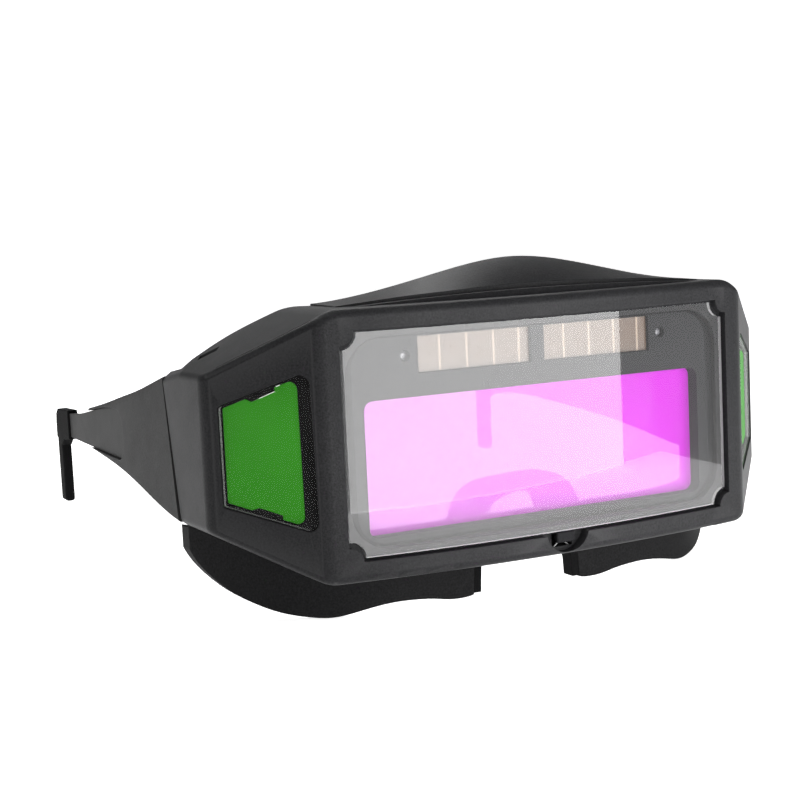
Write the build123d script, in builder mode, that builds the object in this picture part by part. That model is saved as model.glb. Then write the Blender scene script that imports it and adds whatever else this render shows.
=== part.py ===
from build123d import *
import os
from math import sqrt, radians, sin, cos

# Auto-darkening welding goggles.
# Sizes are in millimetres.  X runs to the wearer's left, Y backwards and Z up.
# Places are given in the design frame: x from the middle, y back from the filter's front
# plane, z up from the centre of the window.  Its origin is moved by these two values, so
# that the row's origin is the middle of the underside.
window_z = 35.6145
filter_y = -72.696

# ---------------- driving dimensions ----------------
view_width, view_height = 92.0, 31.0
cartridge_width, cartridge_height = 108.0, 51.0
plate_width, plate_height = 104.4, 50.3
plate_notch, recess_lobe = 3.8, 3.3
cover_z = 6.25

face_radius = 350.0
face_y = -7.2
face_half_width = 57.5
face_top, face_bottom = 36.8, -24.4
plate_y, plate_thickness = -6.0, 1.0
ledge_y = -4.9
side_x = 78.0
wall = 2.4
flare_end = (77.5, 17.5)
facet_top_x, facet_bottom_x = 54.2, 57.0
side_top, side_bottom = 22.4, -12.3
cavity_x = side_x - wall

seam_y, seam_lean = 37.7, 0.2
hinge_x, hinge_y = 71.6, 38.6
hinge_z = -1.0
knuckle_radius, knuckle_height = 2.7, 3.2
pin_radius, pin_clearance = 1.2, 0.05
arm_thickness = 3.4
arm_skin = 0.7
converge = 2.2

mask_y, mask_sweep, mask_power = 8.5, 31.4, 4.2
mask_thickness = 2.4


# ---------------- planes and curves ----------------
def front(y=0.0):
    """Upright plane at depth y: local x is X, local y is Z, normal forward."""
    return Plane(origin=(0, filter_y + y, window_z), x_dir=(1, 0, 0), z_dir=(0, -1, 0))


def plan(z=0.0):
    """Level plane at height z: local x is X, local y is Y, normal up."""
    return Plane(origin=(0, filter_y, window_z + z), x_dir=(1, 0, 0), z_dir=(0, 0, 1))


def side(x=0.0):
    """Upright plane at x: local x is Y, local y is Z, normal to the left."""
    return Plane(origin=(x, filter_y, window_z), x_dir=(0, 1, 0), z_dir=(1, 0, 0))


def flank():
    """Plane of the left flare: local x runs back along it, local y is Z, normal outwards."""
    origin = (face_half_width, filter_y + arc_y(face_half_width, face_y), window_z)
    return Plane(origin=origin, x_dir=(1, 1, 0), z_dir=(1, -1, 0))


def arm():
    """Plane of the left arm's outer face: local x runs back along it, local y is Z."""
    turn = radians(converge)
    return Plane(origin=(side_x, filter_y + seam_y, window_z),
                 x_dir=(-sin(turn), cos(turn), 0), z_dir=(cos(turn), sin(turn), 0))


def arc_y(x, centre_y):
    """Depth at x of the face's arc whose middle lies at centre_y."""
    return centre_y + face_radius - sqrt(face_radius**2 - x**2)


def face_arc(half_width, centre_y):
    """Arc parallel to the face."""
    end = arc_y(half_width, centre_y)
    return ThreePointArc((-half_width, end), (0, centre_y), (half_width, end))


def mask_line(x, behind=0.0):
    """Depth at x of a curve that follows the mask's outer surface."""
    slope = mask_power * mask_sweep / 76 * (abs(x) / 76) ** (mask_power - 1)
    return mask_y + mask_sweep * (abs(x) / 76) ** mask_power + behind * sqrt(1 + slope**2)


def mask_curve(half_width, behind=0.0, steps=12):
    """Smooth plan curve from left to right, a constant distance behind the mask's front."""
    xs = [half_width * (2 * i / steps - 1) for i in range(steps + 1)]
    return Spline(*[(x, mask_line(x, behind)) for x in xs])


def save(piece, name):
    piece.part.label = name
    export_step(piece.part, f"parts/{name}.step")


def save_mirrored(piece, name):
    with BuildPart() as twin:
        add(mirror(piece.part, about=Plane.YZ))
    save(twin, name)


def plan_outline(inset, rear):
    """Shell's outline seen from above: curved face, 45 degree flare, straight rear sides."""
    end_y = arc_y(face_half_width, face_y)
    with BuildSketch(Plane.XY, mode=Mode.PRIVATE) as outline:
        with BuildLine():
            face_arc(face_half_width, face_y)
            Polyline((face_half_width, end_y), flare_end, (side_x, rear), (-side_x, rear),
                     (-flare_end[0], flare_end[1]), (-face_half_width, end_y))
        make_face()
        if inset:
            offset(amount=-inset, kind=Kind.INTERSECTION)
    return outline.sketch


def front_outline(inset):
    """Shell's outline seen from the front: level top and bottom with sloping facets."""
    with BuildSketch(Plane.XY, mode=Mode.PRIVATE) as outline:
        with BuildLine():
            Polyline((-facet_top_x, face_top), (facet_top_x, face_top), (side_x, side_top),
                     (side_x, side_bottom), (facet_bottom_x, face_bottom),
                     (-facet_bottom_x, face_bottom), (-side_x, side_bottom),
                     (-side_x, side_top), close=True)
        make_face()
        fillet(outline.vertices().filter_by(lambda v: abs(v.X) < 60), 8)
        if inset:
            offset(amount=-inset, kind=Kind.INTERSECTION)
    return outline.sketch


def brow_profile(y, half_width, ends, shoulder, crown):
    """Cross-section of the brow at depth y, with its crown over the nose."""
    with BuildSketch(front(y), mode=Mode.PRIVATE) as section:
        with BuildLine():
            Spline((-half_width, ends), (-half_width / 2, shoulder), (0, crown),
                   (half_width / 2, shoulder), (half_width, ends))
            Polyline((half_width, ends), (half_width, 20), (-half_width, 20),
                     (-half_width, ends))
        make_face()
    return section.sketch


def brow_solid(drop):
    """Raised brow that climbs to the forehead edge; drop lowers it to make its inside."""
    with BuildPart() as brow:
        add(brow_profile(1, 50, 36.9 - drop, 38.6 - drop, 39.4 - drop))
        add(brow_profile(9, 50, 37.1 - drop, 41.2 - drop, 44.8 - drop))
        add(brow_profile(40, 50, 37.3 - drop, 42.0 - drop, 46.6 - drop))
        loft()
    return brow.part


os.makedirs("parts", exist_ok=True)

# ---------------- front shell: outer block ----------------
# Above the temple the shell's corner falls away to meet the arm.
corner = Plane(origin=(side_x, filter_y + 30, window_z + side_top), z_dir=(0.74, 0.158, 1))
with BuildPart() as corner_cut:
    with BuildSketch(corner):
        Rectangle(80, 80)
    extrude(amount=20)
    mirror(about=Plane.YZ)

with BuildPart() as shell_outer:
    with BuildSketch(plan(-30)) as outline:
        add(plan_outline(0, 60))
        by_depth = outline.vertices().group_by(Axis.Y)
        fillet(by_depth[0] + by_depth[1], 5)
    extrude(amount=80)
    with BuildSketch(front(80)):
        add(front_outline(0))
    extrude(amount=100, mode=Mode.INTERSECT)
    add(corner_cut.part, mode=Mode.SUBTRACT)
    upright = shell_outer.faces().filter_by(lambda f: abs(f.normal_at().Z) < 0.01)
    rims = upright.sort_by(Axis.Y)[:-1].edges().filter_by(
        lambda e: e.bounding_box().size.Z < 20 and e.center().Y < filter_y + 55)
    fillet(rims, 2)

# ---------------- front shell: visor strip and brow ----------------
strip_y, brow_y = -4.2, 0.2
with BuildPart() as visor_strip:
    with BuildSketch(plan(30)):
        with BuildLine():
            face_arc(51, strip_y)
            Polyline((51, arc_y(51, strip_y)), (51, 30), (-51, 30), (-51, arc_y(51, strip_y)))
        make_face()
    extrude(amount=8.2)
    crest = visor_strip.faces().sort_by(Axis.Z)[-1].edges().sort_by(Axis.Y)[0]
    chamfer(crest, length=1.6, length2=3.4, reference=visor_strip.faces().sort_by(Axis.Z)[-1])
    with BuildSketch(front(60)):
        with BuildLine():
            ThreePointArc((-54, 36.3), (0, 38.2), (54, 36.3))
            Polyline((54, 36.3), (54, 20), (-54, 20), (-54, 36.3))
        make_face()
    extrude(amount=80, mode=Mode.INTERSECT)

with BuildPart() as brow:
    add(brow_solid(0))
    with BuildSketch(plan(20)):
        with BuildLine():
            face_arc(60, brow_y)
            Polyline((60, arc_y(60, brow_y)), (60, 60), (-60, 60), (-60, arc_y(60, brow_y)))
        make_face()
    extrude(amount=40, mode=Mode.INTERSECT)

# ---------------- front shell: cavity ----------------
with BuildPart() as brow_inside:
    add(brow_solid(2.2))
    with BuildSketch(plan(20)):
        with BuildLine():
            face_arc(47, 2.6)
            Polyline((47, arc_y(47, 2.6)), (47, 80), (-47, 80), (-47, arc_y(47, 2.6)))
        make_face()
    extrude(amount=40, mode=Mode.INTERSECT)

with BuildPart() as cavity:
    with BuildSketch(plan(-30)):
        add(plan_outline(wall, 90))
    extrude(amount=80)
    with BuildSketch(front(90)):
        add(front_outline(wall))
    extrude(amount=90, mode=Mode.INTERSECT)
    add(brow_inside.part)

brow_edge = [(0, 10.2), (25, 10.8), (37.5, 12.5), (45, 14.6), (50, 17.0), (54, 21.0), (58, 25.6),
             (62, 29.6), (66, 32.3), (71, 33.8), (cavity_x, 34.6)]
with BuildPart() as rear_cut:
    with BuildSketch(plan(-40)):
        with BuildLine():
            edge = mask_curve(cavity_x, -0.15)
            Polyline(edge @ 1, (cavity_x, 100), (-cavity_x, 100), edge @ 0)
        make_face()
    extrude(amount=40)
    with BuildSketch(plan(0)):
        with BuildLine():
            edge = Spline(*[(-x, y) for x, y in reversed(brow_edge)], *brow_edge[1:])
            Polyline(edge @ 1, (cavity_x, 100), (-cavity_x, 100), edge @ 0)
        make_face()
    extrude(amount=60)
    with BuildSketch(side(-90)):
        with BuildLine():
            Polyline((seam_y - 40 * seam_lean, -40), (seam_y + 60 * seam_lean, 60),
                     (140, 60), (140, -40), close=True)
        make_face()
    extrude(amount=180)

# ---------------- front shell: cover recess, window opening, finger recess ----------------
finger_radius, finger_depth = 5.96, 3.0
latch_x = 2.0
recess_width, recess_height = plate_width + 1.2, plate_height + 1.2
with BuildPart() as cover_recess:
    with BuildSketch(front(20)):
        with Locations((0, cover_z)):
            Rectangle(recess_width, recess_height)
            with GridLocations(recess_width, recess_height, 2, 2):
                Circle(recess_lobe, mode=Mode.SUBTRACT)
    extrude(amount=40)
    with BuildSketch(plan(-40)):
        with BuildLine():
            face_arc(60, ledge_y)
            Polyline((60, arc_y(60, ledge_y)), (60, -40), (-60, -40), (-60, arc_y(60, ledge_y)))
        make_face()
    extrude(amount=80, mode=Mode.INTERSECT)

recess_floor = cover_z - recess_height / 2
with BuildPart() as finger_recess:
    with BuildSketch(front(face_y + finger_depth)):
        with Locations((latch_x, recess_floor - 4.4 + finger_radius)):
            Circle(finger_radius)
        with Locations((latch_x, recess_floor)):
            Rectangle(20, 20, align=(Align.CENTER, Align.MIN), mode=Mode.SUBTRACT)
    extrude(amount=10)

with BuildPart() as window_opening:
    with BuildSketch(front(2)):
        with Locations((0, cover_z)):
            RectangleRounded(101.8, 47.7, 9)
    extrude(amount=12)

# ---------------- front shell: side window recesses and openings ----------------
cover_outline = [(2.7, 23.4), (2.1, -12.3), (24.4, -6.5), (24.4, 15.9)]
pane_outline = [(5.9, 22.1), (5.6, -11.1), (24.0, -5.9), (24.0, 15.6)]
side_recess, side_cover_thickness = 1.3, 1.0


def side_pane_face(shrink):
    """Outline of the green pane: rounded towards the face, with a notch above and below."""
    with BuildSketch(Plane.XY, mode=Mode.PRIVATE) as outline:
        with BuildLine():
            Polyline(*pane_outline, close=True)
        make_face()
        fillet(outline.vertices().sort_by(Axis.X)[:2], 1.8)
        fillet(outline.vertices().sort_by(Axis.X)[-2:], 0.6)
        with BuildLine():
            Polyline((11.2, 24), (11.3, 19.2), (16.9, 17.0), (18.3, 17.6), (18.3, 24), close=True)
        make_face(mode=Mode.SUBTRACT)
        with BuildLine():
            Polyline((10.8, -14), (11.0, -8.6), (16.4, -7.0), (18.4, -7.6), (18.4, -14), close=True)
        make_face(mode=Mode.SUBTRACT)
        if shrink:
            offset(amount=-shrink, kind=Kind.INTERSECTION)
    return outline.sketch


def side_cover_sketch(grow):
    with BuildSketch(Plane.XY, mode=Mode.PRIVATE) as outline:
        with BuildLine():
            Polyline(*cover_outline, close=True)
        make_face()
        fillet(outline.vertices().sort_by(Axis.X)[:2], 2.2)
        fillet(outline.vertices().sort_by(Axis.X)[-2:], 0.8)
        if grow:
            offset(amount=grow)
    return outline.sketch


def flank_depth(depth):
    """Plane of the left flare, moved into the wall by depth."""
    return flank().offset(-depth)


with BuildPart() as side_window_cut:
    with BuildSketch(flank_depth(side_recess)):
        add(side_cover_sketch(0.3))
    extrude(amount=4)
    with BuildSketch(flank_depth(8)):
        add(side_pane_face(0))
    extrude(amount=8)

# ---------------- front shell: latch pocket, hinge ears, clip bosses, mask slots ----------------
with BuildPart() as latch_pocket:
    with BuildSketch(front(-1.4)):
        with Locations((latch_x, recess_floor - 3.35)):
            Rectangle(5.6, 3.35, align=(Align.CENTER, Align.MIN))
    extrude(amount=4)

ear_gap = 0.2
ear_levels = [hinge_z + knuckle_height / 2 + ear_gap, hinge_z - 1.5 * knuckle_height - ear_gap]
with BuildPart() as hinge_ears:
    for level in ear_levels:
        with BuildSketch(plan(level)):
            with Locations((hinge_x, hinge_y)):
                Circle(knuckle_radius)
            with BuildLine():
                Polyline((hinge_x - knuckle_radius, hinge_y), (hinge_x - knuckle_radius, 33),
                         (hinge_x, 28), (cavity_x + 1, 28), (cavity_x + 1, 34.5),
                         (hinge_x + knuckle_radius, hinge_y - 1.5),
                         (hinge_x + knuckle_radius, hinge_y), close=True)
            make_face()
            with Locations((hinge_x, hinge_y)):
                Circle(pin_radius, mode=Mode.SUBTRACT)
        extrude(amount=knuckle_height)

boss_x, boss_back, boss_radius = 59.4, 7.6, 2.4
screw_radius, screw_length = 1.0, 5.0
boss_levels = (-9.5, 22.0)
with BuildPart() as clip_bosses:
    for level in boss_levels:
        with BuildSketch(front(boss_back)):
            with Locations((boss_x, level)):
                Circle(boss_radius)
        extrude(amount=boss_back - 1.0)
    add(shell_outer.part, mode=Mode.INTERSECT)
    for level in boss_levels:
        with BuildSketch(front(boss_back)):
            with Locations((boss_x, level)):
                Circle(screw_radius)
        extrude(amount=screw_length - 1.2, mode=Mode.SUBTRACT)

slot_x, slot_y, slot_width, slot_depth, slot_turn = 70.6, 29.6, 4.4, 1.4, 45
tab_bottom, tab_height, foot_height = 18.0, 7.4, 4.8
with BuildPart() as mask_slots:
    with BuildSketch(plan(10)):
        with Locations((slot_x, slot_y)):
            Rectangle(slot_width + 0.6, slot_depth + 0.6, rotation=slot_turn)
    extrude(amount=30)

with BuildPart() as shell_sides:
    add(hinge_ears.part)
    add(clip_bosses.part)
    mirror(about=Plane.YZ)

with BuildPart() as shell_side_cuts:
    add(side_window_cut.part)
    add(mask_slots.part)
    mirror(about=Plane.YZ)

with BuildPart() as front_shell:
    add(shell_outer.part)
    add(visor_strip.part)
    add(brow.part)
    add(cavity.part, mode=Mode.SUBTRACT)
    add(rear_cut.part, mode=Mode.SUBTRACT)
    add(cover_recess.part, mode=Mode.SUBTRACT)
    add(finger_recess.part, mode=Mode.SUBTRACT)
    add(window_opening.part, mode=Mode.SUBTRACT)
    add(latch_pocket.part, mode=Mode.SUBTRACT)
    add(shell_sides.part)
    add(shell_side_cuts.part, mode=Mode.SUBTRACT)
save(front_shell, 'front_shell')

# ---------------- outer cover plate and its latch ----------------
with BuildPart() as cover_plate:
    with BuildSketch(plan(cover_z - plate_height / 2)):
        with BuildLine():
            ahead = face_arc(plate_width / 2, plate_y)
            behind = face_arc(plate_width / 2, plate_y + plate_thickness)
            Line(ahead @ 0, behind @ 0)
            Line(ahead @ 1, behind @ 1)
        make_face()
    extrude(amount=plate_height)
    with BuildSketch(front(10)):
        with Locations((0, cover_z)):
            with GridLocations(plate_width, plate_height, 2, 2):
                Circle(plate_notch)
    extrude(amount=20, mode=Mode.SUBTRACT)
save(cover_plate, 'cover_plate')

latch_top = cover_z - plate_height / 2 - 0.15
with BuildPart() as cover_latch:
    with BuildSketch(front(ledge_y - 0.1)):
        with Locations((latch_x, latch_top)):
            Rectangle(5.0, 2.6, align=(Align.CENTER, Align.MAX))
    extrude(amount=1.3)
    fillet(cover_latch.edges().filter_by(Axis.Y), 0.4)
    chamfer(cover_latch.faces().sort_by(Axis.Y)[0].edges(), 0.25)
    with BuildSketch(front(-1.7)):
        with Locations((latch_x, latch_top - 0.6)):
            Rectangle(4.4, 1.5, align=(Align.CENTER, Align.MAX))
    extrude(amount=3.6)
save(cover_latch, 'cover_latch')

spring_low = recess_floor - 3.3
spring_high = latch_top - 0.6 - 1.5 - 0.05
with BuildPart() as latch_spring:
    with BuildSketch(front(-1.9)):
        with BuildLine():
            Polyline((latch_x - 2.2, spring_low), (latch_x - 1.8, spring_low),
                     (latch_x, spring_high - 0.3), (latch_x + 1.8, spring_low),
                     (latch_x + 2.2, spring_low), (latch_x + 0.3, spring_high),
                     (latch_x - 0.3, spring_high), close=True)
        make_face()
    extrude(amount=2.0)
save(latch_spring, 'latch_spring')

# ---------------- auto-darkening cartridge ----------------
bezel_depth, glass_y = 6.6, 3.4
plateau_width, plateau_height, bevel = 99.6, 48.4, 1.2
cell_width, cell_height, cell_x, cell_z = 30.0, 8.4, 16.8, 25.0
cell_recess, cell_thickness = 1.5, 0.6
sensor_x, sensor_z, sensor_radius = 35.2, 25.0, 1.3
glass_width, glass_height = 94.4, 33.4
board_floor = 17.4

with BuildPart() as filter_bezel:
    with BuildSketch(front(bezel_depth)):
        with Locations((0, cover_z)):
            RectangleRounded(cartridge_width, cartridge_height, 3)
    extrude(amount=bezel_depth - bevel)
    with BuildSketch(front(bevel)):
        with Locations((0, cover_z)):
            RectangleRounded(plateau_width, plateau_height, 8)
    extrude(amount=bevel, taper=40)
    with BuildSketch(front(bezel_depth)):
        RectangleRounded(glass_width, glass_height, 1)
    extrude(amount=bezel_depth - glass_y, mode=Mode.SUBTRACT)
    with BuildSketch(front(bezel_depth)):
        with Locations((0, board_floor)):
            Rectangle(96, 12.4, align=(Align.CENTER, Align.MIN))
    extrude(amount=bezel_depth - 3.2, mode=Mode.SUBTRACT)
    with BuildSketch(front(bezel_depth)):
        RectangleRounded(view_width, view_height, 2.2)
        with Locations((-sensor_x, sensor_z), (sensor_x, sensor_z)):
            Circle(sensor_radius)
    extrude(amount=20, mode=Mode.SUBTRACT)
    with BuildSketch(front(cell_recess)):
        with Locations((-cell_x, cell_z), (cell_x, cell_z)):
            Rectangle(cell_width, cell_height)
    extrude(amount=10, mode=Mode.SUBTRACT)
save(filter_bezel, 'filter_bezel')

with BuildPart() as uv_ir_filter:
    with BuildSketch(front(glass_y + 1.0)):
        RectangleRounded(glass_width - 0.4, glass_height - 0.4, 1)
    extrude(amount=1.0)
save(uv_ir_filter, 'uv_ir_filter')

with BuildPart() as light_valve:
    with BuildSketch(front(bezel_depth)):
        RectangleRounded(glass_width - 0.4, glass_height - 0.4, 1)
    extrude(amount=bezel_depth - glass_y - 1.0)
save(light_valve, 'light_valve')

for name, x in (('solar_cell_left', cell_x), ('solar_cell_right', -cell_x)):
    with BuildPart() as solar_cell:
        with BuildSketch(front(cell_recess)):
            with Locations((x, cell_z)):
                Rectangle(cell_width - 0.2, cell_height - 0.2)
        extrude(amount=cell_thickness)
    save(solar_cell, name)

for name, x in (('light_sensor_left', sensor_x), ('light_sensor_right', -sensor_x)):
    with BuildPart() as light_sensor:
        with BuildSketch(front(3.2)):
            with Locations((x, sensor_z)):
                Circle(sensor_radius - 0.05)
        extrude(amount=2.2)
        fillet(light_sensor.faces().sort_by(Axis.Y)[0].edges(), 0.9)
    save(light_sensor, name)

with BuildPart() as circuit_board:
    with BuildSketch(front(4.2)):
        with Locations((0, board_floor + 0.2)):
            Rectangle(95.4, 12.0, align=(Align.CENTER, Align.MIN))
    extrude(amount=1.0)
    with BuildSketch(front(5.0)):
        with Locations((-28, 24), (26, 22), (34, 26)):
            Rectangle(6, 4.5)
    extrude(amount=0.8)
save(circuit_board, 'circuit_board')

with BuildPart() as backup_battery:
    with BuildSketch(front(5.9)):
        with Locations((0, board_floor + 6.2)):
            Circle(6.0)
    extrude(amount=1.6)
    chamfer(backup_battery.edges(), 0.2)
save(backup_battery, 'backup_battery')

inner_plate_width, inner_plate_height, inner_plate_thickness = 98.0, 37.0, 0.8
back_depth = 8.0
with BuildPart() as filter_back_cover:
    with BuildSketch(front(back_depth)):
        with Locations((0, cover_z)):
            RectangleRounded(cartridge_width, cartridge_height, 3)
    extrude(amount=back_depth - bezel_depth)
    with BuildSketch(front(back_depth)):
        RectangleRounded(view_width - 1, view_height - 1, 1.2)
    extrude(amount=10, mode=Mode.SUBTRACT)
    with BuildSketch(front(back_depth)):
        RectangleRounded(inner_plate_width, inner_plate_height, 2)
    extrude(amount=inner_plate_thickness, mode=Mode.SUBTRACT)
save(filter_back_cover, 'filter_back_cover')

with BuildPart() as inner_cover_plate:
    with BuildSketch(front(back_depth)):
        RectangleRounded(inner_plate_width - 0.4, inner_plate_height - 0.4, 1.8)
    extrude(amount=inner_plate_thickness)
save(inner_cover_plate, 'inner_cover_plate')

with BuildPart() as filter_seal:
    with BuildSketch(front(4.6)):
        with Locations((0, cover_z)):
            RectangleRounded(111.6, 55.2, 6)
            RectangleRounded(cartridge_width + 0.2, cartridge_height + 0.2, 3.1, mode=Mode.SUBTRACT)
    extrude(amount=4.0)
save(filter_seal, 'filter_seal')

# ---------------- cartridge clips and screws ----------------
clip_thickness = 1.4
with BuildPart() as filter_clip:
    with BuildSketch(front(back_depth + clip_thickness)):
        with BuildLine():
            Polyline((50.5, -14), (61.5, -13), (62, -6), (56.5, -2), (56.5, 15), (62, 18.5),
                     (61.5, 25.5), (50.5, 26.5), close=True)
        make_face()
    extrude(amount=clip_thickness)
    for level in boss_levels:
        with BuildSketch(front(back_depth)):
            with Locations((boss_x, level)):
                Circle(boss_radius)
        extrude(amount=back_depth - boss_back)
        with BuildSketch(front(back_depth + clip_thickness)):
            with Locations((boss_x, level)):
                Circle(screw_radius + 0.1)
        extrude(amount=5, mode=Mode.SUBTRACT)
save(filter_clip, 'filter_clip_left')
save_mirrored(filter_clip, 'filter_clip_right')

with BuildPart() as clip_screws:
    for x in (-boss_x, boss_x):
        for level in boss_levels:
            with BuildSketch(front(back_depth + clip_thickness)):
                with Locations((x, level)):
                    Circle(screw_radius)
            extrude(amount=screw_length)
            with BuildSketch(front(back_depth + clip_thickness + 1.1)):
                with Locations((x, level)):
                    Circle(1.9)
                    Rectangle(2.4, 0.4, rotation=35, mode=Mode.SUBTRACT)
                    Rectangle(2.4, 0.4, rotation=125, mode=Mode.SUBTRACT)
            extrude(amount=1.1)
save(clip_screws, 'clip_screws')

# ---------------- side covers and green panes ----------------
with BuildPart() as side_cover:
    with BuildSketch(flank_depth(side_recess)):
        add(side_cover_sketch(0))
    extrude(amount=side_cover_thickness)
save(side_cover, 'side_cover_left')
save_mirrored(side_cover, 'side_cover_right')

with BuildPart() as side_filter:
    with BuildSketch(flank_depth(side_recess + 1.1)):
        add(side_pane_face(0.1))
    extrude(amount=1.05)
save(side_filter, 'side_filter_left')
save_mirrored(side_filter, 'side_filter_right')

# ---------------- face mask and nose pad ----------------
arch_half_width, arch_top, arch_springing = 12.4, -11.0, -24.0
nose_pad_thickness = 2.0
nose_pad_back = 23.0
mask_half_width, mask_low_half_width, mask_notch = 73.0, 75.0, -14.5
mask_top, mask_top_side = 33.8, 21.0


def nose_arch(grow, foot=-45):
    """Arch over the nose: a rounded top on two slightly spreading legs."""
    half, top = arch_half_width + grow, arch_top + grow
    spread = (arch_springing - foot) / 15
    with BuildSketch(Plane.XY, mode=Mode.PRIVATE) as arch:
        with BuildLine():
            Spline((-half, arch_springing), (0, top), (half, arch_springing),
                   tangents=[(0.05, 1), (0.05, -1)])
            Polyline((half, arch_springing), (half + spread, foot), (-half - spread, foot),
                     (-half, arch_springing))
        make_face()
    return arch.sketch


with BuildPart() as mask_sheet:
    with BuildSketch(plan(-45)):
        with BuildLine():
            outer = mask_curve(mask_low_half_width)
            inner = mask_curve(mask_low_half_width, mask_thickness)
            Line(outer @ 0, inner @ 0)
            Line(outer @ 1, inner @ 1)
        make_face()
    extrude(amount=95)

lobe = [(13.3, -31.5), (14.3, -33.9), (17.5, -34.7), (22, -34.5), (26, -33.8), (30, -33.4),
        (35, -33.3), (40, -33.8), (45, -34.8), (50, -35.6), (55, -35.2), (60, -34.1),
        (65, -31.9), (68, -30.0), (71, -27.1), (73.4, -23.8), (mask_low_half_width, -20)]
with BuildPart() as mask_shape:
    with BuildSketch(front(60)):
        with BuildLine():
            left = Spline(*lobe)
            Polyline(left @ 1, (mask_low_half_width, mask_notch), (mask_half_width, mask_notch),
                     (mask_half_width, mask_top_side), (53.5, mask_top), (48, mask_top))
            Spline((48, mask_top), (25, 38.3), (0, 41.6), (-25, 38.3), (-48, mask_top))
            right = Spline(*[(-x, z) for x, z in reversed(lobe)])
            Polyline((-48, mask_top), (-53.5, mask_top), (-mask_half_width, mask_top_side),
                     (-mask_half_width, mask_notch), (-mask_low_half_width, mask_notch),
                     right @ 0)
            Line(right @ 1, left @ 0)
        make_face()
        with Locations((0, 5.5)):
            RectangleRounded(124, 43, 12, mode=Mode.SUBTRACT)
        add(nose_arch(4.6, -26))
        add(nose_arch(nose_pad_thickness), mode=Mode.SUBTRACT)
        for x in (-mask_half_width, mask_half_width):
            with Locations((x, hinge_z)):
                RectangleRounded(14.6, 13.2, 2, mode=Mode.SUBTRACT)
    extrude(amount=60)

with BuildPart() as face_mask:
    add(mask_sheet.part)
    add(mask_shape.part, mode=Mode.INTERSECT)
    for x, turn in ((-slot_x, -slot_turn), (slot_x, slot_turn)):
        with BuildSketch(plan(tab_bottom)):
            with Locations((x, slot_y)):
                Rectangle(slot_width, slot_depth, rotation=turn)
        extrude(amount=tab_height)
        with BuildSketch(plan(tab_bottom)):
            with Locations((x, slot_y + 1.6)):
                Rectangle(slot_width, slot_depth + 1, rotation=turn)
        extrude(amount=foot_height)
save(face_mask, 'face_mask')

with BuildPart() as nose_pad:
    with BuildSketch(front(nose_pad_back)):
        add(nose_arch(nose_pad_thickness - 0.05, -34))
        add(nose_arch(0), mode=Mode.SUBTRACT)
    extrude(amount=nose_pad_back - mask_y - 0.1)
    with BuildSketch(side(-40)):
        with BuildLine():
            Polyline((12.5, -40), (12.5, -29.5), (14.5, -27), (40, -26), (40, -40), close=True)
        make_face()
    extrude(amount=80, mode=Mode.SUBTRACT)
save(nose_pad, 'nose_pad')

# ---------------- temples: arm with a pocket, sliding leg, ear tip, hinge pin ----------------
# On the arm's plane, distances run back from the seam.
leg_depth = 0.8
leg_thickness = 1.8
pocket_start, mouth_start, leg_start = 17.8, 42.0, 26.3
leg_end = 106.0
tail_top = 3.6
arm_top = [(4.6, 21.3), (13, 19.4), (27, 16.3), (42.4, 13.4), (58.5, 10.4), (75.5, 7.6)]
arm_bottom = [(75.5, -3.7), (62, -4.6), (47, -5.9), (33, -7.8), (19.5, -10.1), (-1.6, -12.7)]
leg_low, leg_high = -3.4, 9.6


def leg_face(start, corner, grow=0.0):
    """Leg's outline: level underneath, with a top that falls towards the tail."""
    low, high, end = leg_low - grow, leg_high + grow, leg_end + grow
    with BuildSketch(Plane.XY, mode=Mode.PRIVATE) as outline:
        with BuildLine():
            top = Spline((48, high), (60, 8.9 + grow), (73.5, 7.0 + grow), (end, tail_top + grow))
            Polyline(top @ 1, (end, low + 0.3), (78, low + 0.1), (60, low), (start, low),
                     (start, high), top @ 0)
        make_face()
        fillet(outline.vertices().sort_by(Axis.X)[:2], corner)
    return outline.sketch


with BuildPart() as temple:
    with BuildSketch(arm()):
        with BuildLine():
            top = Spline(*arm_top)
            bottom = Spline(*arm_bottom)
            Line(top @ 1, bottom @ 0)
            Line(bottom @ 1, top @ 0)
        make_face()
    extrude(amount=-arm_thickness)
    outer_edges = temple.faces().sort_by(Axis.X)[-1].edges()
    fillet(outer_edges.filter_by(lambda e: e.geom_type == GeomType.BSPLINE), 0.8)
    with BuildSketch(arm().offset(-arm_skin)):
        add(leg_face(pocket_start, 1, 0.12))
    extrude(amount=-(arm_thickness - 2 * arm_skin), mode=Mode.SUBTRACT)
    with BuildSketch(arm().offset(-arm_skin - 0.1)):
        add(leg_face(mouth_start, 5, 0.12))
    extrude(amount=3, mode=Mode.SUBTRACT)
    with BuildSketch(plan(hinge_z - knuckle_height / 2)):
        with Locations((hinge_x, hinge_y)):
            Circle(knuckle_radius)
        with BuildLine():
            Polyline((hinge_x, hinge_y - knuckle_radius + 0.2), (side_x - 3.2, hinge_y - 0.3),
                     (side_x - 3.2, 45.5), (hinge_x + 1.5, 44), (hinge_x - knuckle_radius, hinge_y),
                     close=True)
        make_face()
    extrude(amount=knuckle_height)
    with BuildSketch(plan(hinge_z - knuckle_height)):
        with Locations((hinge_x, hinge_y)):
            Circle(pin_radius + pin_clearance)
    extrude(amount=2 * knuckle_height, mode=Mode.SUBTRACT)
save(temple, 'temple_left')
save_mirrored(temple, 'temple_right')

with BuildPart() as temple_leg:
    with BuildSketch(arm().offset(-leg_depth)):
        add(leg_face(leg_start, 1))
    extrude(amount=-leg_thickness)
save(temple_leg, 'temple_leg_left')
save_mirrored(temple_leg, 'temple_leg_right')

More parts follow.
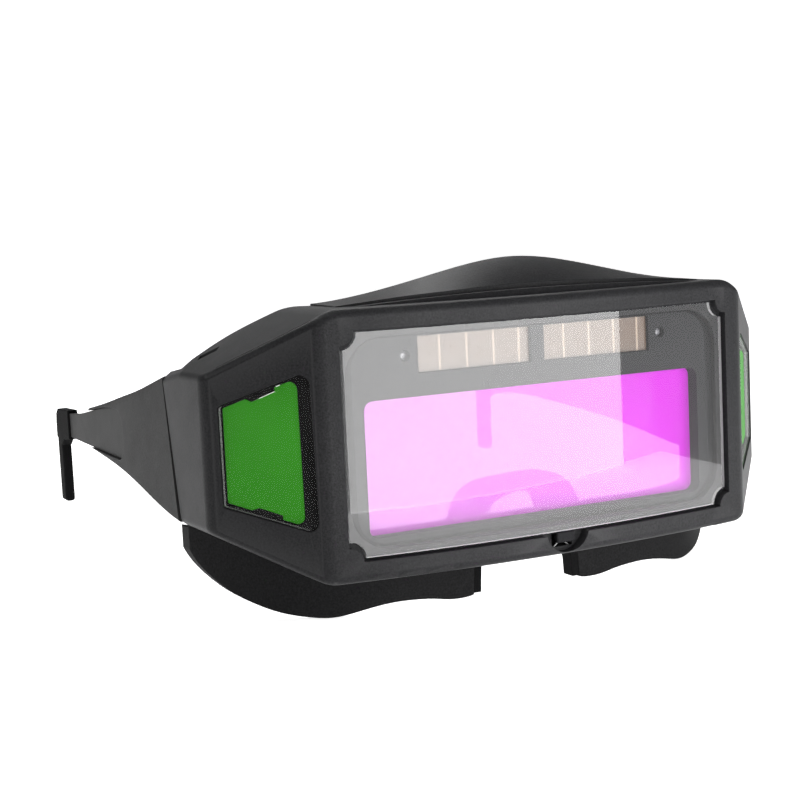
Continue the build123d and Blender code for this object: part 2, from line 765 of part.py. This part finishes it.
tip_start, tip_end, tip_bottom = 100.2, 115.0, -23.4
tip_bar, tip_width, socket_width = 5.8, 2.8, 3.0
tip_middle = leg_depth + leg_thickness / 2
with BuildPart() as tip_hook:
    with BuildSketch(arm().offset(-tip_middle)):
        with Locations((tip_end - tip_bar / 2, tip_bottom)):
            Rectangle(tip_bar, 3.0 - tip_bottom, align=(Align.CENTER, Align.MIN))
    extrude(amount=tip_width / 2, both=True)
    fillet(tip_hook.edges().filter_by(lambda e: e.length > 20), 1.0)
    fillet(tip_hook.faces().sort_by(Axis.Z)[0].edges(), 0.9)

with BuildPart() as ear_tip:
    with BuildSketch(arm().offset(-tip_middle)):
        with BuildLine():
            Polyline((tip_start, -3.9), (tip_start, 4.6), (tip_end - 2.4, 4.1),
                     (tip_end - 0.5, 2.6), (tip_end, 0), (tip_end, -4.5),
                     (tip_end - tip_bar, -6.5), (tip_end - tip_bar - 2.6, -4.6), close=True)
        make_face()
    extrude(amount=socket_width / 2, both=True)
    fillet(ear_tip.faces().sort_by(Axis.X)[0].edges(), 0.4)
    fillet(ear_tip.faces().sort_by(Axis.X)[-1].edges(), 0.4)
    add(tip_hook.part)
    add(temple_leg.part, mode=Mode.SUBTRACT)
save(ear_tip, 'ear_tip_left')
save_mirrored(ear_tip, 'ear_tip_right')

with BuildPart() as hinge_pin:
    with BuildSketch(plan(ear_levels[1])):
        with Locations((hinge_x, hinge_y)):
            Circle(pin_radius)
    extrude(amount=ear_levels[0] - ear_levels[1] + knuckle_height)
save(hinge_pin, 'hinge_pin_left')
save_mirrored(hinge_pin, 'hinge_pin_right')
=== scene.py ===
import math

import bmesh
import bpy
from mathutils import Matrix, Vector


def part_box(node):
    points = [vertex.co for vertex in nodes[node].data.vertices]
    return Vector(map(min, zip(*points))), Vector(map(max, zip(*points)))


# Auto-darkening welding goggles: materials, small surface detail, light and camera.
# Everything is in metres in the CAD frame: X to the wearer's left, Y back, Z up.
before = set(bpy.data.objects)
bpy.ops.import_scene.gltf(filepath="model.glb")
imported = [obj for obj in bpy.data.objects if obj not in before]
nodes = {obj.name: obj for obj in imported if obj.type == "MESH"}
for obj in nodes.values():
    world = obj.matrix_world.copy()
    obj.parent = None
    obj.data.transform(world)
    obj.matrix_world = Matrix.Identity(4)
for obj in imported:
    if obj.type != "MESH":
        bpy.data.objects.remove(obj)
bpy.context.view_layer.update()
MM = 0.001
WHITE = (1, 1, 1, 1)

# ---------------- camera ----------------
CAMERA_PLACE = Vector((-0.2049, -0.3976, 0.0929))
CAMERA_RIGHT = Vector((0.88473, -0.46368, -0.04742))
CAMERA_UP = Vector((0.09487, 0.07954, 0.99231))
CAMERA_BACK = Vector((-0.45634, -0.88243, 0.11436))
LENS_MM, SENSOR_MM = 73.8, 36.0


def add_camera():
    data = bpy.data.cameras.new("camera")
    data.lens = LENS_MM
    data.sensor_width = SENSOR_MM
    data.clip_start, data.clip_end = 0.01, 50.0
    camera = bpy.data.objects.new("camera", data)
    bpy.context.scene.collection.objects.link(camera)
    turn = Matrix((CAMERA_RIGHT, CAMERA_UP, CAMERA_BACK)).transposed().to_4x4()
    camera.matrix_world = Matrix.Translation(CAMERA_PLACE) @ turn
    bpy.context.scene.camera = camera


# ---------------- material kit ----------------
class Nodes:
    """Short calls for building one material's node tree."""

    def __init__(self, name):
        self.material = bpy.data.materials.new(name)
        self.material.use_nodes = True
        self.tree = self.material.node_tree
        self.shader = self.tree.nodes["Principled BSDF"]
        self.coords = self.add("ShaderNodeTexCoord").outputs["Object"]

    def add(self, kind, **values):
        node = self.tree.nodes.new(kind)
        for key, value in values.items():
            setattr(node, key, value)
        return node

    def link(self, source, target):
        self.tree.links.new(source, target)

    def set(self, **values):
        for key, value in values.items():
            self.shader.inputs[key.replace("_", " ")].default_value = value

    def noise(self, size_mm, detail=3.0, rough=0.55, stretch=(1, 1, 1), seed=0.0):
        """Noise whose largest blobs are about size_mm across."""
        mapping = self.add("ShaderNodeMapping")
        mapping.inputs["Scale"].default_value = stretch
        mapping.inputs["Location"].default_value = (seed, seed * 0.7, seed * 1.3)
        self.link(self.coords, mapping.inputs["Vector"])
        node = self.add("ShaderNodeTexNoise")
        node.inputs["Scale"].default_value = 1000.0 / size_mm
        node.inputs["Detail"].default_value = detail
        node.inputs["Roughness"].default_value = rough
        self.link(mapping.outputs["Vector"], node.inputs["Vector"])
        return node.outputs["Fac"]

    def ramp(self, source, low, high, low_at=0.35, high_at=0.65):
        """Colour ramp between two grey levels or two colours."""
        node = self.add("ShaderNodeValToRGB")
        ends = node.color_ramp.elements
        for end, place, value in ((ends[0], low_at, low), (ends[1], high_at, high)):
            end.position = place
            end.color = (*value, 1) if isinstance(value, tuple) else (value, value, value, 1)
        self.link(source, node.inputs["Fac"])
        return node.outputs["Color"]

    def spread(self, source, low, high, from_low=0.35, from_high=0.65):
        """Value stretched from one range to another."""
        node = self.add("ShaderNodeMapRange")
        for key, value in (("From Min", from_low), ("From Max", from_high),
                           ("To Min", low), ("To Max", high)):
            node.inputs[key].default_value = value
        self.link(source, node.inputs["Value"])
        return node.outputs["Result"]

    def math(self, operation, a, b=0.0):
        node = self.add("ShaderNodeMath", operation=operation)
        for place, value in enumerate((a, b)):
            if isinstance(value, (int, float)):
                node.inputs[place].default_value = value
            else:
                self.link(value, node.inputs[place])
        return node.outputs[0]

    def mix(self, factor, a, b):
        node = self.add("ShaderNodeMix", data_type="RGBA")
        self.link(factor, node.inputs["Factor"])
        for place, value in ((6, a), (7, b)):
            if isinstance(value, tuple):
                node.inputs[place].default_value = (*value, 1)
            else:
                self.link(value, node.inputs[place])
        return node.outputs[2]

    def bump(self, height, depth_mm, strength, rounding_mm=0.0):
        """Surface relief, over edges that look rounded by rounding_mm."""
        node = self.add("ShaderNodeBump")
        node.inputs["Distance"].default_value = depth_mm * MM
        node.inputs["Strength"].default_value = strength
        self.link(height, node.inputs["Height"])
        if rounding_mm:
            bevel = self.add("ShaderNodeBevel", samples=6)
            bevel.inputs["Radius"].default_value = rounding_mm * MM
            self.link(bevel.outputs["Normal"], node.inputs["Normal"])
        self.link(node.outputs["Normal"], self.shader.inputs["Normal"])

    def edge_wear(self, sharp=0.53, full=0.62):
        """1 on convex edges, 0 elsewhere."""
        pointy = self.add("ShaderNodeNewGeometry").outputs["Pointiness"]
        return self.spread(pointy, 0.0, 1.0, sharp, full)

    def place(self, axis):
        """One coordinate in the CAD frame, in metres."""
        split = self.add("ShaderNodeSeparateXYZ")
        self.link(self.coords, split.inputs[0])
        return split.outputs[axis]


def grained_plastic(name, dark, light, rough, grain_mm=0.42, grain_depth=0.04, worn=None,
                    rounding_mm=0.3, shine=0.4):
    """Moulded plastic: fine spark-eroded grain, slow colour drift, slightly worn edges."""
    n = Nodes(name)
    fine = n.noise(grain_mm, 3.0, 0.6)
    base = n.ramp(n.noise(30.0, 1.0), dark, light)
    speck = n.ramp(fine, 0.6, 1.4, 0.3, 0.7)
    tint = n.add("ShaderNodeMix", data_type="RGBA", blend_type="MULTIPLY")
    tint.inputs["Factor"].default_value = 1.0
    n.link(base, tint.inputs[6])
    n.link(speck, tint.inputs[7])
    colour = tint.outputs[2]
    if worn:
        colour = n.mix(n.edge_wear(), colour, worn)
    n.colour = colour
    n.rough = n.spread(n.noise(6.0, 3.0, seed=3.0), rough - 0.015, rough + 0.02)
    n.link(n.colour, n.shader.inputs["Base Color"])
    n.link(n.rough, n.shader.inputs["Roughness"])
    n.set(Specular_IOR_Level=shine, IOR=1.5)
    n.bump(fine, grain_depth, 0.9, rounding_mm)
    return n


def clear_plastic(name, across, ior=1.5, rough=0.02, rim_highlight_alpha=0.35, gloss=1.0,
                  low_edge=0.0):
    """Thin clear sheet: seen through, with a sharp reflection and pale cut edges.

    across is the axis through the sheet's thickness.  A level edge below low_edge is painted
    solid white, a painted highlight where light gathers in the sheet."""
    n = Nodes(name)
    n.set(Base_Color=WHITE)
    n.link(n.spread(n.noise(9.0, 3.0), rough, rough + 0.02), n.shader.inputs["Roughness"])
    geometry = n.add("ShaderNodeNewGeometry")
    across_share = n.add("ShaderNodeVectorMath", operation="DOT_PRODUCT")
    across_share.inputs[1].default_value = across
    n.link(geometry.outputs["True Normal"], across_share.inputs[0])
    rim = n.math("LESS_THAN", n.math("ABSOLUTE", across_share.outputs["Value"]), 0.6)
    face = n.math("SUBTRACT", 1.0, rim)
    n.link(face, n.shader.inputs["Metallic"])

    fresnel = n.add("ShaderNodeFresnel")
    fresnel.inputs["IOR"].default_value = ior
    front = n.math("SUBTRACT", 1.0, geometry.outputs["Backfacing"])
    shine = n.math("MULTIPLY", n.math("MULTIPLY", fresnel.outputs["Fac"], gloss), front)

    normal = n.add("ShaderNodeSeparateXYZ")
    n.link(geometry.outputs["True Normal"], normal.inputs[0])
    # Painted highlight: rims are partly opaque white, and level rims low on the sheet are solid
    # white.
    level = n.math("GREATER_THAN", n.math("ABSOLUTE", normal.outputs["Z"]), 0.7)
    low = n.math("LESS_THAN", n.place("Z"), low_edge)
    edge = n.math("MAXIMUM", rim_highlight_alpha, n.math("MULTIPLY", level, low))
    n.link(n.math("ADD", n.math("MULTIPLY", rim, edge), n.math("MULTIPLY", face, shine)),
           n.shader.inputs["Alpha"])
    return n.material


def lacquer(name, colour, rough=0.15, grain_mm=9.0, shine=0.5, ior=1.5):
    """Smooth glossy surface."""
    n = Nodes(name)
    n.link(n.ramp(n.noise(grain_mm, 2.0), tuple(0.92 * c for c in colour), colour),
           n.shader.inputs["Base Color"])
    n.link(n.spread(n.noise(5.0, 3.0), rough, rough + 0.05), n.shader.inputs["Roughness"])
    n.set(Specular_IOR_Level=shine, IOR=ior)
    n.bump(n.noise(12.0, 1.0), 0.01, 0.05)
    return n.material


def metal(name, colour, rough):
    """Brushed metal, with its scratches level."""
    n = Nodes(name)
    brushed = n.noise(0.8, 3.0, stretch=(1, 1, 8))
    n.link(n.ramp(brushed, tuple(0.8 * c for c in colour), colour), n.shader.inputs["Base Color"])
    n.set(Metallic=1.0)
    n.link(n.spread(brushed, rough - 0.06, rough + 0.08), n.shader.inputs["Roughness"])
    n.bump(brushed, 0.01, 0.4)
    return n.material


def paint(material, *names):
    """Give each named node this material alone."""
    for name in names:
        slots = nodes[name].data.materials
        slots.clear()
        slots.append(material)


def smooth_all(sharp_angle=35):
    """Smooth shading with edges past sharp_angle degrees kept crisp."""
    for node in nodes.values():
        node.data.shade_smooth()
        node.data.set_sharp_from_angle(angle=math.radians(sharp_angle))


add_camera()
smooth_all()

# ---------------- shell, latch and temples ----------------
# Where each flared side begins, which turns back at 45 degrees, and how deep under its face
# and how far along it the floor of the side window's recess lies.
FLARE_X, FLARE_SETBACK = 57.5 * MM, 4.7 * MM
FLOOR_DEPTH = (1.1 * MM, 1.5 * MM)
FLOOR_SPAN = (1.8 * MM, 25.0 * MM)
DIAGONAL = 0.70711


def shell_plastic():
    """Satin shell, with the floor of each side recess made glossier and painted near-black, a
    painted shade in the recess.
    """
    n = grained_plastic("shell_plastic", (0.0145, 0.0145, 0.0155), (0.0165, 0.0165, 0.0175), 0.42,
                        worn=(0.035, 0.035, 0.036), shine=0.09)
    out = n.math("SUBTRACT", n.math("ABSOLUTE", n.place("X")), FLARE_X)
    back = n.math("SUBTRACT", n.place("Y"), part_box("front_shell")[0].y + FLARE_SETBACK)
    depth = n.math("MULTIPLY", n.math("SUBTRACT", back, out), DIAGONAL)
    along = n.math("MULTIPLY", n.math("ADD", back, out), DIAGONAL)
    # Painted shade: the floor of each side recess is coloured near-black, darker than the shell,
    # and its roughness is lowered.
    recess = 1.0
    for value, (least, most) in ((depth, FLOOR_DEPTH), (along, FLOOR_SPAN)):
        recess = n.math("MULTIPLY", recess, n.math("GREATER_THAN", value, least))
        recess = n.math("MULTIPLY", recess, n.math("LESS_THAN", value, most))
    n.link(n.mix(recess, n.colour, (0.004, 0.004, 0.004)), n.shader.inputs["Base Color"])
    n.link(n.math("SUBTRACT", n.rough, n.math("MULTIPLY", recess, 0.25)),
           n.shader.inputs["Roughness"])
    return n.material


paint(shell_plastic(), "front_shell")
paint(grained_plastic("latch_plastic", (0.008, 0.008, 0.009), (0.010, 0.010, 0.011),
                      0.5, shine=0.05).material, "cover_latch")
arm = grained_plastic("temple_plastic", (0.019, 0.019, 0.019), (0.021, 0.021, 0.021), 0.55,
                      worn=(0.035, 0.035, 0.035), shine=0.08)
paint(arm.material, "temple_left", "temple_right", "temple_leg_left", "temple_leg_right")

# ---------------- mask, pads, seal ----------------
mask = grained_plastic("mask_plastic", (0.010, 0.010, 0.0105), (0.012, 0.012, 0.0125), 0.62,
                       grain_mm=0.45, rounding_mm=0.6, shine=0.06)
paint(mask.material, "face_mask", "filter_clip_left", "filter_clip_right")
pad = grained_plastic("pad_rubber", (0.005, 0.005, 0.0053), (0.0065, 0.0065, 0.0068), 0.7,
                      grain_mm=0.22, shine=0.04)
paint(pad.material, "nose_pad", "ear_tip_left", "ear_tip_right", "filter_seal")

# ---------------- cartridge ----------------
bezel = grained_plastic("cartridge_plastic", (0.014, 0.014, 0.0155), (0.016, 0.016, 0.0175), 0.55,
                        grain_depth=0.01, shine=0.05)
paint(bezel.material, "filter_bezel", "filter_back_cover")


CELL_LINES = (0.20, 0.44, 0.68, 0.91)  # shares of the strip's width
CELL_LINE_HALF_WIDTH = 0.009


def solar_cell(piece):
    """Brown amorphous silicon with light lines between its cells."""
    n = Nodes(piece)
    low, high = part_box(piece)
    along = n.math("DIVIDE", n.math("SUBTRACT", n.place("X"), low.x), high.x - low.x)
    lines = None
    for share in CELL_LINES:
        off = n.math("ABSOLUTE", n.math("SUBTRACT", along, share))
        line = n.math("LESS_THAN", off, CELL_LINE_HALF_WIDTH)
        lines = line if lines is None else n.math("MAXIMUM", lines, line)
    patch = n.ramp(n.noise(3.0), (0.060, 0.034, 0.018), (0.067, 0.038, 0.021))
    n.link(n.mix(lines, patch, (0.22, 0.165, 0.12)), n.shader.inputs["Base Color"])
    n.link(n.spread(n.noise(2.0), 0.3, 0.38), n.shader.inputs["Roughness"])
    n.bump(n.noise(0.4), 0.004, 0.12)
    return n.material


for piece in ("solar_cell_left", "solar_cell_right"):
    paint(solar_cell(piece), piece)


def filter_glass():
    """Coated glass: strong magenta, with a little of what lies behind showing through."""
    n = Nodes("filter_glass")
    n.link(n.ramp(n.noise(35.0, 1.0), (0.37, 0.006, 0.40), (0.385, 0.008, 0.42)),
           n.shader.inputs["Base Color"])
    n.link(n.spread(n.noise(8.0), 0.06, 0.1), n.shader.inputs["Roughness"])
    n.set(Alpha=0.88, Specular_IOR_Level=0.1)
    n.bump(n.noise(25.0, 1.0), 0.005, 0.1)
    return n.material


paint(filter_glass(), "uv_ir_filter")
paint(lacquer("sensor_lens", (0.10, 0.10, 0.11), 0.1, 1.5), "light_sensor_left",
      "light_sensor_right")
paint(lacquer("board_lacquer", (0.02, 0.12, 0.04), 0.3), "circuit_board")
paint(metal("battery_steel", (0.6, 0.6, 0.6), 0.3), "backup_battery")
paint(metal("screw_steel", (0.12, 0.12, 0.12), 0.4), "clip_screws")
paint(metal("pin_steel", (0.5, 0.5, 0.5), 0.3), "hinge_pin_left", "hinge_pin_right")
paint(metal("spring_steel", (0.14, 0.14, 0.14), 0.4), "latch_spring")

# ---------------- clear plates and green panes ----------------
plate_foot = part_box("cover_plate")[0].z + 2 * MM
paint(clear_plastic("clear_plate", (0, 1, 0), 1.56, low_edge=plate_foot), "cover_plate")
paint(clear_plastic("inner_clear", (0, 1, 0), gloss=0.5), "inner_cover_plate", "light_valve")
green = lacquer("green_pane", (0.034, 0.215, 0.017), 0.1, 18.0, ior=1.0)
for side, outwards in (("left", 1), ("right", -1)):
    across = (DIAGONAL * outwards, -DIAGONAL, 0)
    paint(clear_plastic(f"side_clear_{side}", across, 1.35, rim_highlight_alpha=0.15, gloss=0.15),
          f"side_cover_{side}")
    paint(green, f"side_filter_{side}")


# ---------------- floor, backdrop and light ----------------
FLOOR_HALF_WIDTH, FLOOR_FRONT, FLOOR_BACK = 8.0, -8.0, 5.0
BACKDROP_RADIUS, BACKDROP_STEP, BACKDROP_STEPS = 2.0, 10, 7
FLOOR_DROP = 0.2 * MM


def add_floor():
    """Pale floor that curves up into a backdrop far behind the object."""
    mesh = bpy.data.meshes.new("floor")
    form = bmesh.new()
    line = [(FLOOR_FRONT, 0.0), (FLOOR_BACK, 0.0)]
    for step in range(1, BACKDROP_STEPS + 1):
        turn = math.radians(BACKDROP_STEP * step)
        line.append((FLOOR_BACK + BACKDROP_RADIUS * math.sin(turn),
                     BACKDROP_RADIUS * (1 - math.cos(turn))))
    rows = [[form.verts.new((x, y, z - FLOOR_DROP)) for y, z in line]
            for x in (-FLOOR_HALF_WIDTH, FLOOR_HALF_WIDTH)]
    for i in range(len(line) - 1):
        form.faces.new((rows[0][i], rows[1][i], rows[1][i + 1], rows[0][i + 1]))
    form.to_mesh(mesh)
    form.free()
    mesh.shade_smooth()
    floor = bpy.data.objects.new("floor", mesh)
    bpy.context.scene.collection.objects.link(floor)
    n = Nodes("floor_paint")
    n.set(Base_Color=(0.9, 0.9, 0.9, 1), Roughness=0.9, Specular_IOR_Level=0.1,
          Emission_Color=WHITE, Emission_Strength=0.8)
    mesh.materials.append(n.material)


def add_world(strength):
    """Even white surroundings."""
    world = bpy.data.worlds.new("studio")
    world.use_nodes = True
    background = world.node_tree.nodes["Background"]
    background.inputs["Color"].default_value = WHITE
    background.inputs["Strength"].default_value = strength
    bpy.context.scene.world = world


def add_light(name, place, target, size, power, shown=True):
    """Rectangular softbox at place that faces target.  One not shown only lights and reflects."""
    data = bpy.data.lights.new(name, "AREA")
    data.shape = "RECTANGLE"
    data.size, data.size_y = size
    data.energy = power
    light = bpy.data.objects.new(name, data)
    light.visible_camera = shown
    bpy.context.scene.collection.objects.link(light)
    aim = Vector(target) - Vector(place)
    light.matrix_world = (Matrix.Translation(place)
                          @ aim.to_track_quat("-Z", "Y").to_matrix().to_4x4())


add_floor()
add_world(0.22)
bpy.context.scene.view_settings.view_transform = "Standard"
CENTRE = (0.0, -0.03, 0.04)
add_light("overhead", (-0.25, -0.15, 1.1), CENTRE, (0.9, 0.9), 6.5)
add_light("rear_top", (0.1, 0.5, 0.7), CENTRE, (0.8, 0.3), 4.5)
# Two low cards in front, which the cover plate reflects.
add_light("front_card", (0.0575, -0.22, 0.05), (0.0575, 0.0, 0.05), (0.175, 0.1), 0.33,
          shown=False)
add_light("table_card", (0.07, -0.158, 0.001), (0.07, -0.158, 1.0), (0.22, 0.12), 0.2,
          shown=False)
